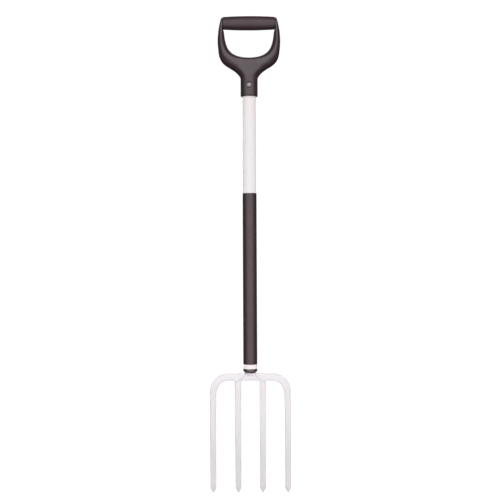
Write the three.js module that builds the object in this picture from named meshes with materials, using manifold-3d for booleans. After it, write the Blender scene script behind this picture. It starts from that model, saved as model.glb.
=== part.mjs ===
// Digging fork: D-handle, aluminium shaft with a plastic sleeve, and a welded four-tine steel head.
// Millimetres, +Z up. The Z axis is the shaft's axis. The origin is on that axis at the flat
// underside of the palm, the bridge between the two middle tines. +X runs across the tines, +Y is
// the side the tine tips sweep towards. Handle, shaft and palm are in line; only the tines leave
// the XZ plane.
import * as THREE from "three";
import { mergeVertices } from "three/addons/utils/BufferGeometryUtils.js";
import Module from "manifold-3d";

const wasm = await Module();
wasm.setup();

// ---------------------------------------------------------------- driving dimensions (mm)
const FIT = 0.3; // clearance between pieces that touch on the real tool

// head
const TIP_Z = -274.4; // tine points
const TIP_TAPER = 12.5; // length of the pointed end
const TAPER_Z = TIP_Z + TIP_TAPER; // where the pointed end begins
const PALM_TOP = 17; // top of palm and shoulders, the treads
const PALM_Y = 10; // thickness of palm and shoulders
const MIDDLE_X = 29.2; // middle tine centre
const MIDDLE_W = [15.0, 13.8]; // middle tine width at the top and above the point
const MIDDLE_START_Z = -18; // top of the middle tine's stepped edges
const OUTER_X = [87.7, 89.4]; // outer tine centre at the top and at the tip
const OUTER_W = [14.6, 13.9]; // outer tine width at the top and above the point
const [BEND_X, BEND_Z] = [52, -26]; // centre of the shoulder's bend
const BEND_R = 43; // outside of the bend
const OUTER_START_Z = BEND_Z - 10; // top of the outer tine's stepped edges
// the weld seam runs straight down from the palm's top to its bend,
// then slants to the middle tine's outer edge
const [SEAM_X, SEAM_Z] = [12.8, 12.2]; // the seam's bend
const [SEAM_END_X, SEAM_END_Z] = [37.6, -5.2];
const HALF_GAP = 2.6 / 2; // half the width of the weld groove
const WELD_PROUD = 0.5; // extra thickness of the weld, shared by both faces
const CROTCH_R = 5;
const EDGE_R = 2.4; // rounded edge of the tines
const TINE_STEPS = 18; // steps along each long edge, so that it can follow the sweep
const TANG_R = 10;
const TANG_TOP = 140;
const SWEEP_START = -15; // the slope off the shaft's line grows between these two heights
const SWEEP_END = -190;
const SWEEP_SLOPE = Math.tan(THREE.MathUtils.degToRad(13.5));
const BOW = 0.04; // the tines' long edges are very slightly bowed outwards
const THIN = [1.0, 0.62, 0.42]; // thickness share at the shoulder, above the point, at the point

// inside of the shoulder's bend, a little fuller than a true arc: x, z
const BEND_INSIDE = [
  [79.8, -28], [78.7, -23], [76.8, -18.3], [74.3, -13.6], [71.4, -9.4],
  [67.8, -5.6], [63.2, -2.7], [57.6, -0.8], [51, 0],
];

// bush between tang and tube, with its visible collar
const COLLAR_R = 16.6;
const COLLAR_LOW_R = 13.9; // the collar's lower, narrower step
const COLLAR_Z = [18.6, 27.8];
const BUSH_R = 13.6;
const BUSH_TOP = 132;

// shaft
const TUBE_R = 15.5;
const TUBE_WALL = 1.6;
const TUBE_Z = [28.1, 722];
const SLEEVE_R = 16.45;
const SLEEVE_BORE = 15.7;
const SLEEVE_Z = [38.8, 439];
const PIN_R = 2.5;
const PIN_Z = 84;

// handle
const SOCKET_R = 20.2;
const SOCKET_Z = 664.7;
const BORE_R = 15.8;
const BORE_TOP = 724;
const GRIP_Z = 838;
const GRIP_R = [16.5, 14.6]; // grip radius in the middle and at its ends
const GRIP_HALF = 60.7; // half length of the grip
const GRIP_BORE = 10.4;
const CORE_R = 10; // crossbar inside the grip
const EAR_X = 61; // inner face of the ears that hold the grip
const GRIP_GAP_Z = [822.9, 870]; // space cut between the ears, ending above the yoke's top
const YOKE_FOOT_Z = 684; // lowest section of the yoke, inside the socket
const YOKE_FOOT_R = SOCKET_R - 0.5;
const YOKE_AROUND = 36; // points round each section of the yoke
const FLARE_Z = 802; // the hand opening flares away from this height, and sideways above it

// yoke outline: half width, height
const YOKE_OUTLINE = [
  [YOKE_FOOT_R, YOKE_FOOT_Z], [20.2, 704], [20.6, 708.7], [23.0, 713.4], [26.8, 718.1],
  [31.8, 722.8], [38.1, 727.4], [45.6, 732.1], [53.2, 736.8], [59.0, 741.5], [63.3, 746.2],
  [66.2, 750.9], [68.5, 755.6], [69.8, 760.3], [71.0, 765.0], [72.0, 774.3], [73.0, 783.7],
  [73.5, 793.1], [73.4, 802.5], [72.8, 811.9], [71.7, 821.2], [70.1, 830.6], [68.3, 840.0],
  [67.1, 844.7], [65.6, 848.6], [62.4, 851.7],
];
// yoke sections: height, half depth
const YOKE_DEPTH = [
  [YOKE_FOOT_Z, YOKE_FOOT_R], [700, 20.2], [712, 19.9], [725, 19.0], [745, 17.2],
  [765, 14.8], [795, 13.2], [815, 13.8], [838, 16.2], [851.7, 14.0],
];
// yoke sections: height, exponent of the superellipse (2 is an ellipse, more is squarer)
const YOKE_SQUARENESS = [
  [YOKE_FOOT_Z, 2], [704, 2.05], [722, 2.5], [745, 3.2], [770, 4.2], [852, 4.6],
];
// hand opening: half width, height
const OPENING = [
  [0, 757.7], [7, 757.9], [15.2, 758.8], [22.3, 760.2], [29.3, 762.5], [36.0, 765.7],
  [41.3, 769.4], [45.7, 774.0], [49.1, 778.6], [51.5, 783.5], [54.6, 793.1], [56.6, 802.5],
  [57.6, 811.9], [57.9, 818.0], [57.8, 829],
];
// hand opening: y, how far its outline is widened there
const FLARE = [
  [-24, 16], [-17, 10], [-13, 5.2], [-10, 2.6], [-6.5, 0.8], [0, 0],
  [6.5, 0.8], [10, 2.6], [13, 5.2], [17, 10], [24, 16],
];

// blind rivet through the -Y side of the socket's wall and the tube's wall behind it
const RIVET_Z = 690.8;
const RIVET_R = 2.4;
const RIVET_BORE = 1.35;
const FLANGE_R = 4.7;
const RECESS_R = 6.9;
const RECESS_Y = -18.9; // floor of the recess round the flange
const FLANGE_Y = RECESS_Y - 0.1; // face of the flange towards the socket
const RIVET_HOLE_END = -8; // y inside the tube where the rivet holes stop

// ---------------------------------------------------------------- helpers
const toSolid = (geometry) => {
  const bare = new THREE.BufferGeometry().setAttribute("position", geometry.getAttribute("position"));
  if (geometry.index) bare.setIndex(geometry.index);
  const merged = mergeVertices(bare, 1e-4);
  const index = merged.index.array;
  const triangles = []; // without those that merging has collapsed
  for (let i = 0; i < index.length; i += 3) {
    const [a, b, c] = index.slice(i, i + 3);
    if (a !== b && b !== c && a !== c) triangles.push(a, b, c);
  }
  return new wasm.Manifold(new wasm.Mesh({
    numProp: 3,
    vertProperties: new Float32Array(merged.attributes.position.array),
    triVerts: new Uint32Array(triangles),
  }));
};

const toGeometry = (solid) => {
  const mesh = solid.getMesh();
  return new THREE.BufferGeometry()
    .setAttribute("position", new THREE.BufferAttribute(new Float32Array(mesh.vertProperties), 3))
    .setIndex(new THREE.BufferAttribute(new Uint32Array(mesh.triVerts), 1));
};

// the solid's geometry with move(point) applied to every vertex
const movedGeometry = (solid, move) => {
  const geometry = toGeometry(solid);
  const position = geometry.attributes.position;
  const point = new THREE.Vector3();
  for (let i = 0; i < position.count; i++) {
    point.fromBufferAttribute(position, i);
    move(point);
    position.setXYZ(i, point.x, point.y, point.z);
  }
  return geometry;
};

// turns every face of an indexed geometry over
const turnOver = (geometry) => {
  const index = geometry.index.array;
  for (let i = 0; i < index.length; i += 3) {
    [index[i + 1], index[i + 2]] = [index[i + 2], index[i + 1]];
  }
  return geometry;
};

// the same solid on the other side of the YZ plane
const mirrored = (solid) =>
  toSolid(turnOver(movedGeometry(solid, (point) => { point.x = -point.x; })));

// from a to b, held at the ends when t leaves 0..1
const lerp = (a, b, t) => a + (b - a) * Math.min(1, Math.max(0, t));

// steps + 1 evenly spaced values
const spaced = (from, to, steps) =>
  Array.from({ length: steps + 1 }, (_, i) => lerp(from, to, i / steps));

// straight-line lookup in rows of [z, value], for a z no higher than the last row
const lookup = (rows, z) => {
  const i = rows.findIndex(([rowZ], row) => row > 0 && z <= rowZ);
  const [[lowZ, low], [highZ, high]] = [rows[i - 1], rows[i]];
  return lerp(low, high, (z - lowZ) / (highZ - lowZ));
};

// points on an arc in X and Z, angles in degrees from +X
const arc = (centreX, centreZ, radius, from, to, steps) =>
  spaced(from, to, steps).map((degrees) => {
    const angle = THREE.MathUtils.degToRad(degrees);
    return [centreX + radius * Math.cos(angle), centreZ + radius * Math.sin(angle)];
  });

// a closed profile of [radius, y] pairs, turned round the Y axis
const lathe = (profile, segments) => {
  const points = [...profile, profile[0]].map(([radius, y]) => new THREE.Vector2(radius, y));
  return new THREE.LatheGeometry(points, segments);
};

// a closed profile of [radius, height] pairs, turned round the Z axis
const turned = (profile, segments) => toSolid(lathe(profile, segments).rotateX(Math.PI / 2));

// a round rod between two points
const rod = (radius, from, to, segments) => {
  const start = new THREE.Vector3(...from);
  const end = new THREE.Vector3(...to);
  const span = end.clone().sub(start);
  const middle = start.add(end).multiplyScalar(0.5);
  const geometry = new THREE.CylinderGeometry(radius, radius, span.length(), segments);
  const up = new THREE.Vector3(0, 1, 0);
  geometry.applyQuaternion(new THREE.Quaternion().setFromUnitVectors(up, span.normalize()));
  return toSolid(geometry.translate(middle.x, middle.y, middle.z));
};

// a rod parallel to Y that crosses the shaft's axis line at height z
const rodAlongY = (radius, fromY, toY, z, segments = 24) =>
  rod(radius, [0, fromY, z], [0, toY, z], segments);

// an outline in X and Z, given thickness in Y with rounded edges that keep the outline as the
// silhouette
const plate = (points, thickness, edge) => {
  const shape = new THREE.Shape(points.map(([x, z]) => new THREE.Vector2(x, z)));
  const depth = thickness - 2 * edge;
  const geometry = new THREE.ExtrudeGeometry(shape, {
    depth,
    steps: 1,
    bevelEnabled: true,
    bevelThickness: edge,
    bevelSize: edge,
    bevelOffset: -edge,
    bevelSegments: 2,
    curveSegments: 1,
  });
  return toSolid(geometry.translate(0, 0, -depth / 2).rotateX(Math.PI / 2));
};

// rings of points joined ring to ring and closed with flat ends; pointAt(row, i) gives each point
const stacked = (rows, around, pointAt) => {
  const rings = Array.from({ length: rows }, (_, row) =>
    Array.from({ length: around }, (_, i) => pointAt(row, i)));
  // the order of a cylinder's vertices: its wall ring by ring, then each end's centre and rim
  const wall = rings.flatMap((ring) => [...ring, ring[0]]);
  const ends = [rings[0], rings[rows - 1]].flatMap((ring) => {
    const centre = [0, 1, 2].map((axis) =>
      ring.reduce((sum, point) => sum + point[axis] / around, 0));
    return [...ring.map(() => centre), ...ring, ring[0]];
  });
  const geometry = new THREE.CylinderGeometry(1, 1, 1, around, rows - 1);
  const position = new THREE.Float32BufferAttribute([...wall, ...ends].flat(), 3);
  geometry.setAttribute("position", position);
  const solid = toSolid(geometry);
  // the faces point inwards when the rings run the other way round
  return solid.volume() > 0 ? solid : toSolid(turnOver(geometry));
};

// ---------------------------------------------------------------- head
// how far the tines' centre line stands off the XZ plane at height z: the slope grows evenly
// between two heights and then stays the same
const sweepY = (z) => {
  const length = SWEEP_START - SWEEP_END;
  const along = Math.min(Math.max(SWEEP_START - z, 0), length);
  return (SWEEP_SLOPE * along * along) / (2 * length) + Math.max(0, SWEEP_END - z) * SWEEP_SLOPE;
};
const thinness = (z) =>
  z < TAPER_Z
    ? lerp(THIN[1], THIN[2], (TAPER_Z - z) / TIP_TAPER)
    : lerp(THIN[0], THIN[1], (SWEEP_START - z) / (SWEEP_START - TAPER_Z));
const swept = (solid) =>
  toSolid(movedGeometry(solid, (point) => {
    point.y = point.y * thinness(point.z) + sweepY(point.z);
  }));

// x of a right-hand tine's long edge at height z; side is -1 towards the shaft, 1 away from it
const bow = (z) => BOW * Math.sin(Math.PI * lerp(0, 1, z / TAPER_Z));
const middleEdge = (z, side) =>
  MIDDLE_X + side * (lerp(...MIDDLE_W, z / TAPER_Z) / 2 + bow(z));
const outerEdge = (z, side) => {
  const centre = lerp(...OUTER_X, (z - BEND_Z) / (TIP_Z - BEND_Z));
  const width = lerp(...OUTER_W, (z - BEND_Z) / (TAPER_Z - BEND_Z));
  return centre + side * (width / 2 + bow(z));
};

// down one edge of a tine from startZ to the point, and up the other
const tineOutline = (edge, tipX, startZ, firstSide) => [
  ...spaced(startZ, TAPER_Z, TINE_STEPS).map((z) => [edge(z, firstSide), z]),
  [tipX, TIP_Z],
  ...spaced(TAPER_Z, startZ, TINE_STEPS).map((z) => [edge(z, -firstSide), z]),
];

// the point at x on a line parallel to the seam's slanted part, offset upwards and outwards
const seamAtX = (offset, x) => {
  const [runX, runZ] = [SEAM_END_X - SEAM_X, SEAM_END_Z - SEAM_Z];
  const length = Math.hypot(runX, runZ);
  const lineX = SEAM_X - (runZ / length) * offset;
  const lineZ = SEAM_Z + (runX / length) * offset;
  return [x, lineZ + ((x - lineX) / runX) * runZ];
};

const pinHole = () => rodAlongY(PIN_R + FIT, -20, 20, PIN_Z);

// palm, both middle tines and the tang
const centreForging = () => {
  const right = [
    ...arc(middleEdge(0, -1) - CROTCH_R, -CROTCH_R, CROTCH_R, 90, 0, 4),
    ...tineOutline(middleEdge, MIDDLE_X, MIDDLE_START_Z, -1),
    // the seam's edge leaves the tine's outer side a little below the crotch
    seamAtX(-HALF_GAP, middleEdge(-6, 1)),
    seamAtX(-HALF_GAP, SEAM_X - HALF_GAP),
    [SEAM_X - HALF_GAP, PALM_TOP],
  ];
  const left = right.map(([x, z]) => [-x, z]).reverse();
  const underside = [-6, 0.01]; // one more point on the palm's underside
  // the neck: the palm swells to meet the round tang
  const neckAndTang = turned([
    [0, 1.5], [4.4, 1.5], [6.0, 4.5], [8.4, 9.5], [TANG_R, 14.5],
    [TANG_R, TANG_TOP - 2], [TANG_R - 2, TANG_TOP], [0, TANG_TOP],
  ], 32);
  return swept(plate([...right, ...left, underside], PALM_Y, EDGE_R))
    .add(neckAndTang)
    .subtract(pinHole());
};

// right shoulder, bend and outer tine
const outerTine = () => {
  const outline = [
    [SEAM_X + HALF_GAP, PALM_TOP],
    ...arc(BEND_X, BEND_Z, BEND_R, 90, 0, 14),
    ...tineOutline(outerEdge, OUTER_X[1], OUTER_START_Z, 1),
    ...BEND_INSIDE,
    [middleEdge(0, 1), 0],
    seamAtX(HALF_GAP, middleEdge(0, 1)),
    seamAtX(HALF_GAP, SEAM_X + HALF_GAP),
  ];
  return swept(plate(outline.reverse(), PALM_Y, EDGE_R));
};

// weld metal in the right seam's groove, standing barely proud of both faces
const weldBead = () => {
  const half = HALF_GAP - FIT;
  const endX = middleEdge(0, 1) - 0.8;
  const top = PALM_TOP - 1;
  return plate([
    [SEAM_X - half, top],
    seamAtX(-half, SEAM_X - half),
    seamAtX(-half, endX),
    seamAtX(half, endX),
    seamAtX(half, SEAM_X + half),
    [SEAM_X + half, top],
  ], PALM_Y + WELD_PROUD, 0.5);
};

const bush = () => {
  const [bottom, top] = COLLAR_Z;
  return turned([
    [TANG_R + FIT, bottom], [COLLAR_LOW_R - 0.7, bottom], [COLLAR_LOW_R, bottom + 2.4],
    [COLLAR_R - 0.4, bottom + 3], [COLLAR_R, top - 0.7], [COLLAR_R - 0.6, top],
    [BUSH_R, top], [BUSH_R, BUSH_TOP - 2], [BUSH_R - 1.2, BUSH_TOP], [TANG_R + FIT, BUSH_TOP],
  ], 36).subtract(pinHole());
};

const crossPin = () => rodAlongY(PIN_R, -TUBE_R + 0.4, TUBE_R - 0.4, PIN_Z);

// ---------------------------------------------------------------- shaft
const tube = () => {
  const bore = TUBE_R - TUBE_WALL;
  const [bottom, top] = TUBE_Z;
  return turned([
    [bore, bottom], [TUBE_R - 0.3, bottom], [TUBE_R, bottom + 0.3],
    [TUBE_R, top - 0.4], [TUBE_R - 0.4, top], [bore, top],
  ], 48)
    .subtract(pinHole())
    .subtract(rodAlongY(RIVET_R + 0.2, -20, RIVET_HOLE_END, RIVET_Z));
};

const sleeve = () => {
  const [bottom, top] = SLEEVE_Z;
  return turned([
    [SLEEVE_BORE, bottom], [SLEEVE_R - 0.5, bottom], [SLEEVE_R, bottom + 0.6],
    [SLEEVE_R, top - 0.9], [SLEEVE_R - 0.3, top - 0.25], [SLEEVE_R - 0.7, top],
    [SLEEVE_BORE, top],
  ], 48);
};

// ---------------------------------------------------------------- handle
// rounded cross-sections stacked in Z, before anything is cut out
const yokeBody = () =>
  stacked(YOKE_OUTLINE.length, YOKE_AROUND, (row, i) => {
    const [halfWidth, z] = YOKE_OUTLINE[row];
    const halfDepth = lookup(YOKE_DEPTH, z);
    const power = lookup(YOKE_SQUARENESS, z);
    const angle = (i / YOKE_AROUND) * 2 * Math.PI;
    const [cos, sin] = [Math.cos(angle), Math.sin(angle)];
    const reach = Math.pow(Math.abs(cos) ** power + Math.abs(sin) ** power, -1 / power);
    return [halfWidth * cos * reach, halfDepth * sin * reach, z];
  });

// hand opening: it widens towards both faces, which rounds the arms' inner edges
const handOpening = () => {
  const left = OPENING.slice(1).reverse().map(([x, z]) => [-x, z]);
  const outline = [...OPENING, ...left];
  return stacked(FLARE.length, outline.length, (row, i) => {
    const [x, z] = outline[i];
    const [y, widening] = FLARE[row];
    const down = Math.min(z, FLARE_Z) - FLARE_Z;
    const length = Math.hypot(x, down);
    return [x + (x / length) * widening, y, z + (down / length) * widening];
  });
};

const gripGap = () => {
  const [bottom, top] = GRIP_GAP_Z;
  const box = new THREE.BoxGeometry(2 * EAR_X, 60, top - bottom);
  return toSolid(box.translate(0, 0, (bottom + top) / 2));
};

const yoke = () => {
  const socket = turned([
    [0, SOCKET_Z], [17.6, SOCKET_Z], [19.4, SOCKET_Z + 0.9], [SOCKET_R, SOCKET_Z + 2.6],
    [SOCKET_R, 706], [19.6, 714], [17.6, 724], [14.0, 734], [9, 741], [0, 744],
  ], 48);
  const crossbarEnd = EAR_X + 3;
  const crossbar = rod(CORE_R, [-crossbarEnd, 0, GRIP_Z], [crossbarEnd, 0, GRIP_Z], 32);
  const mouthR = BORE_R + 1.1; // the bore widens at its lower end
  const bore = turned([
    [0, SOCKET_Z - 5], [mouthR, SOCKET_Z - 5], [mouthR, SOCKET_Z],
    [BORE_R, SOCKET_Z + 1.2], [BORE_R, BORE_TOP], [0, BORE_TOP],
  ], 48);
  return yokeBody()
    .subtract(handOpening())
    .subtract(gripGap())
    .add(socket)
    .add(crossbar)
    .subtract(bore)
    .subtract(rodAlongY(RIVET_R + FIT, -30, RIVET_HOLE_END, RIVET_Z))
    .subtract(rodAlongY(RECESS_R, -30, RECESS_Y, RIVET_Z, 32));
};

// soft grip moulded round the crossbar, barrel shaped
const grip = () => {
  const barrel = spaced(-GRIP_HALF + 1, GRIP_HALF - 1, 9).map((x) =>
    [lerp(...GRIP_R, Math.pow(Math.abs(x) / GRIP_HALF, 2.1)), x]);
  const endR = GRIP_R[1] - 1.2;
  const profile = [
    [GRIP_BORE, -GRIP_HALF], [endR, -GRIP_HALF],
    ...barrel,
    [endR, GRIP_HALF], [GRIP_BORE, GRIP_HALF],
  ];
  return toSolid(lathe(profile, 32).rotateZ(-Math.PI / 2).translate(0, 0, GRIP_Z));
};

// a profile of [radius, y] pairs, turned round the rivet's axis
const rivetTurned = (profile, segments) =>
  toSolid(lathe(profile, segments).translate(0, 0, RIVET_Z));

// hollow body with a flange outside the socket and a swelled tail inside the tube
const rivetBody = () => rivetTurned([
  [RIVET_BORE, FLANGE_Y - 1.45], [2.2, FLANGE_Y - 1.5], [3.6, FLANGE_Y - 1.15],
  [4.4, FLANGE_Y - 0.65], [FLANGE_R, FLANGE_Y - 0.3], [FLANGE_R, FLANGE_Y],
  [RIVET_R, FLANGE_Y], [RIVET_R, -13.2], [3.3, -12.7], [3.6, -11.9], [3.1, -10.9],
  [2.2, -10.4], [RIVET_BORE, -10.4],
], 20);

// the mandrel left inside the rivet's body
const rivetMandrel = () => rivetTurned([
  [0, FLANGE_Y - 1.0], [0.9, FLANGE_Y - 1.0], [1.15, FLANGE_Y - 0.8], [1.15, -10.1],
  [2.0, -9.9], [2.2, -9.2], [1.6, -8.3], [0, -8.0],
], 16);

// ---------------------------------------------------------------- materials
const paint = (settings) => new THREE.MeshStandardMaterial(settings);
const WHITE_STEEL = paint({ color: 0xe9e6e8, roughness: 0.42, metalness: 0 });
const WHITE_TUBE = paint({ color: 0xecebed, roughness: 0.32, metalness: 0.1 });
const DARK_PLASTIC = paint({ color: 0x3a3235, roughness: 0.5, metalness: 0 });
const DARK_SLEEVE = paint({ color: 0x40383a, roughness: 0.45, metalness: 0 });
const SOFT_GRIP = paint({ color: 0x3b3336, roughness: 0.62, metalness: 0 });
const ALUMINIUM = paint({ color: 0xb9b6ba, roughness: 0.35, metalness: 1 });
const STEEL = paint({ color: 0x8d8d90, roughness: 0.4, metalness: 1 });

// ---------------------------------------------------------------- assembly
const groupOf = (pieces) => {
  const group = new THREE.Group();
  for (const [name, solid, material] of pieces) {
    const mesh = new THREE.Mesh(toGeometry(solid), material);
    mesh.name = name;
    group.add(mesh);
  }
  return group;
};

const outerRight = outerTine();
const weldRight = weldBead();

const head = groupOf([
  ["centre_forging", centreForging(), WHITE_STEEL],
  ["outer_tine_right", outerRight, WHITE_STEEL],
  ["outer_tine_left", mirrored(outerRight), WHITE_STEEL],
  ["weld_bead_right", weldRight, WHITE_STEEL],
  ["weld_bead_left", mirrored(weldRight), WHITE_STEEL],
  ["tang_bush_collar", bush(), DARK_PLASTIC],
  ["tang_cross_pin", crossPin(), STEEL],
]);
const shaft = groupOf([
  ["shaft_tube", tube(), WHITE_TUBE],
  ["shaft_sleeve", sleeve(), DARK_SLEEVE],
]);
const handle = groupOf([
  ["handle_yoke", yoke(), DARK_PLASTIC],
  ["grip_cover", grip(), SOFT_GRIP],
  ["handle_rivet_body", rivetBody(), ALUMINIUM],
  ["handle_rivet_mandrel", rivetMandrel(), STEEL],
]);

const fork = new THREE.Group();
fork.add(head, shaft, handle);

export default fork;
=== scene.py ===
# Digging fork: a four-tined head welded from flat bar, a sleeved tube shaft on its tang, and a yoke
# handle with a soft grip. Shapes are worked out in millimetres in the CAD frame (+Z up the shaft,
# +X right, front of the tool at -Y) and scaled to metres when each mesh is made.
import math

import bpy
import numpy as np
from mathutils import Matrix, Vector


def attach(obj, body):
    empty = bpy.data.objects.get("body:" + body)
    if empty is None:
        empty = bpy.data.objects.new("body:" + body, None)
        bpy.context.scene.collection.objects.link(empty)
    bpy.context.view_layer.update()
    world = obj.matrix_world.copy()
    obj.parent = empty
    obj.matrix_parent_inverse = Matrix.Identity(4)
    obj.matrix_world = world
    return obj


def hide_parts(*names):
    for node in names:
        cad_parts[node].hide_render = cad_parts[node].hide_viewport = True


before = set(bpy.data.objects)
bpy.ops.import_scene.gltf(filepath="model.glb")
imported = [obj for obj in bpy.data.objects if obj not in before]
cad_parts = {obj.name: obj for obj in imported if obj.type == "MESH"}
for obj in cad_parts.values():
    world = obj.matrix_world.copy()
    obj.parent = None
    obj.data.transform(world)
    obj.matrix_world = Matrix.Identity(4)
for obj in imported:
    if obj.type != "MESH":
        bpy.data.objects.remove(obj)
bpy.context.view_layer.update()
scene = bpy.context.scene
MM = 0.001

# ------------------------------------------------------------------ sizes shared with the CAD (mm)
TIP_Z, TIP_TAPER = -274.4, 12.5
TAPER_Z = TIP_Z + TIP_TAPER  # the tines narrow to their points below this
BEND_X, BEND_Z, BEND_R = 52.0, -26.0, 43.0  # outer bend, from the palm's top to the outer tine
PALM_TOP, PALM_HALF = BEND_Z + BEND_R, 5.0  # height of the top edge, half the thickness
INNER_X, INNER_WIDTHS = 29.2, (15.0, 13.8)  # widths and places: at the tine's top, at its bottom
OUTER_XS, OUTER_WIDTHS = (87.6, 89.4), (14.6, 13.9)
SWEEP_START, SWEEP_END, SWEEP_SLOPE = -15.0, -190.0, math.tan(math.radians(13.5))
TANG_R, TANG_TOP = 10.0, 140.0
COLLAR_BOTTOM, COLLAR_TOP, BUSH_TOP = 18.6, 27.8, 132.0
BUSH_R, BUSH_BORE = 13.6, TANG_R + 0.3
TUBE_R, TUBE_BORE, TUBE_BOTTOM, TUBE_TOP = 15.5, 13.9, 28.1, 722.0
SLEEVE_R, SLEEVE_BORE, SLEEVE_BOTTOM, SLEEVE_TOP = 16.45, 15.7, 38.8, 439.0
PIN_R, PIN_HALF, PIN_Z = 2.5, 15.1, 84.0
SOCKET_R, SOCKET_Z, BORE_R, BORE_TOP = 20.2, 664.7, 15.8, 724.0
GRIP_Z, GRIP_HALF, GRIP_BORE, CORE_R, EAR_X = 838.0, 60.7, 10.4, 10.0, 61.0
RIVET_Z, RECESS_R, RECESS_Y = 690.8, 6.9, -18.9


def lerp(a, b, t):
    return a + (b - a) * np.clip(t, 0, 1)


def smooth_min(a, b, blend):
    h = np.clip(0.5 + 0.5 * (b - a) / blend, 0, 1)
    return b + (a - b) * h - blend * h * (1 - h)


def smooth_max(a, b, blend):
    return -smooth_min(-a, -b, blend)


# ------------------------------------------------------------------ surface from an implicit function
def at_corner(grid, corner):
    """The grid's values at one corner of every cell."""
    return grid[tuple(slice(c, c + size - 1) for c, size in zip(corner, grid.shape))]


def surface_nets(field, low, step):
    """One vertex for each cell the surface crosses, one quad for each grid edge it crosses."""
    inside = field < 0
    size = np.array(field.shape)
    corners = list(np.ndindex(2, 2, 2))
    count = np.zeros(size - 1, np.int8)
    for corner in corners:
        count += at_corner(inside, corner)
    active = (count > 0) & (count < 8)
    cell = np.argwhere(active)
    index = np.full(size - 1, -1, np.int64)
    index[active] = np.arange(len(cell))

    # a cell's vertex is the mean of the places where the surface cuts the cell's edges
    values = {corner: at_corner(field, corner)[active] for corner in corners}
    total, hits = np.zeros((len(cell), 3)), np.zeros(len(cell))
    for start in corners:
        for axis in range(3):
            if start[axis]:
                continue
            end = start[:axis] + (1,) + start[axis + 1:]
            at_start, at_end = values[start], values[end]
            hit = (at_start < 0) != (at_end < 0)
            t = np.zeros_like(at_start)
            t[hit] = at_start[hit] / (at_start[hit] - at_end[hit])
            place = np.tile(np.array(start, float), (len(cell), 1))
            place[:, axis] += t
            total[hit] += place[hit]
            hits[hit] += 1
    verts = (cell + total / hits[:, None]) * step + np.array(low)

    quads = []
    for axis in range(3):
        u, v = (axis + 1) % 3, (axis + 2) % 3
        here = [slice(1, size[m] - 1) for m in range(3)]
        beyond = list(here)
        here[axis], beyond[axis] = slice(0, size[axis] - 1), slice(1, size[axis])
        first = inside[tuple(here)]
        crossing = first != inside[tuple(beyond)]
        where = np.argwhere(crossing) + np.array([0 if m == axis else 1 for m in range(3)])
        around = []
        for du, dv in ((-1, -1), (0, -1), (0, 0), (-1, 0)):
            near = where.copy()
            near[:, u] += du
            near[:, v] += dv
            around.append(index[near[:, 0], near[:, 1], near[:, 2]])
        quad = np.stack(around, 1)
        flip = ~first[crossing]
        quad[flip] = quad[flip][:, ::-1]
        quads.append(quad)
    return verts, np.concatenate(quads)


def implicit(f, low, high, step, rounds=4):
    """Mesh of the surface f = 0 inside a box."""
    low, high = np.array(low, float) - 1.5 * step, np.array(high, float) + 1.5 * step
    size = np.ceil((high - low) / step).astype(int) + 1
    xs, ys, zs = (low[i] + step * np.arange(size[i]) for i in range(3))
    Y, Z = np.meshgrid(ys, zs, indexing="ij")
    field = np.empty(size, np.float32)
    for k, slab_x in enumerate(xs):  # slab by slab, to keep memory small
        field[k] = f(np.full_like(Y, slab_x), Y, Z)
    verts, quads = surface_nets(field, low, step)
    d = 0.04  # half the distance over which the gradient is taken
    for _ in range(rounds):  # slide each vertex along the gradient on to the surface itself
        x, y, z = verts.T
        value = f(x, y, z)
        gradient = np.stack([f(x + d, y, z) - f(x - d, y, z),
                             f(x, y + d, z) - f(x, y - d, z),
                             f(x, y, z + d) - f(x, y, z - d)], 1) / (2 * d)
        squared = np.maximum((gradient * gradient).sum(1), 0.05)
        move = -value[:, None] * gradient / squared[:, None]
        length = np.linalg.norm(move, axis=1)
        verts = verts + move * np.minimum(1, 0.5 * step / np.maximum(length, 1e-9))[:, None]
    return verts, quads


# ------------------------------------------------------------------ outlines and distance fields
def spline(points, per_span=4):
    """Catmull-Rom through open points."""
    p = np.array(points, float)
    p = np.vstack([2 * p[0] - p[1], p, 2 * p[-1] - p[-2]])
    out = []
    for a, b, c, d in zip(p, p[1:], p[2:], p[3:]):
        for t in np.arange(per_span) / per_span:
            out.append(0.5 * (2 * b + (c - a) * t + (2 * a - 5 * b + 4 * c - d) * t * t
                              + (3 * b - a - 3 * c + d) * t ** 3))
    out.append(p[-2])
    return [tuple(q) for q in out]


def arc(x, z, radius, start, end, steps):
    """Points of an arc round (x, z), between two angles in degrees."""
    return [(x + radius * math.cos(math.radians(a)), z + radius * math.sin(math.radians(a)))
            for a in np.linspace(start, end, steps + 1)]


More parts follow.
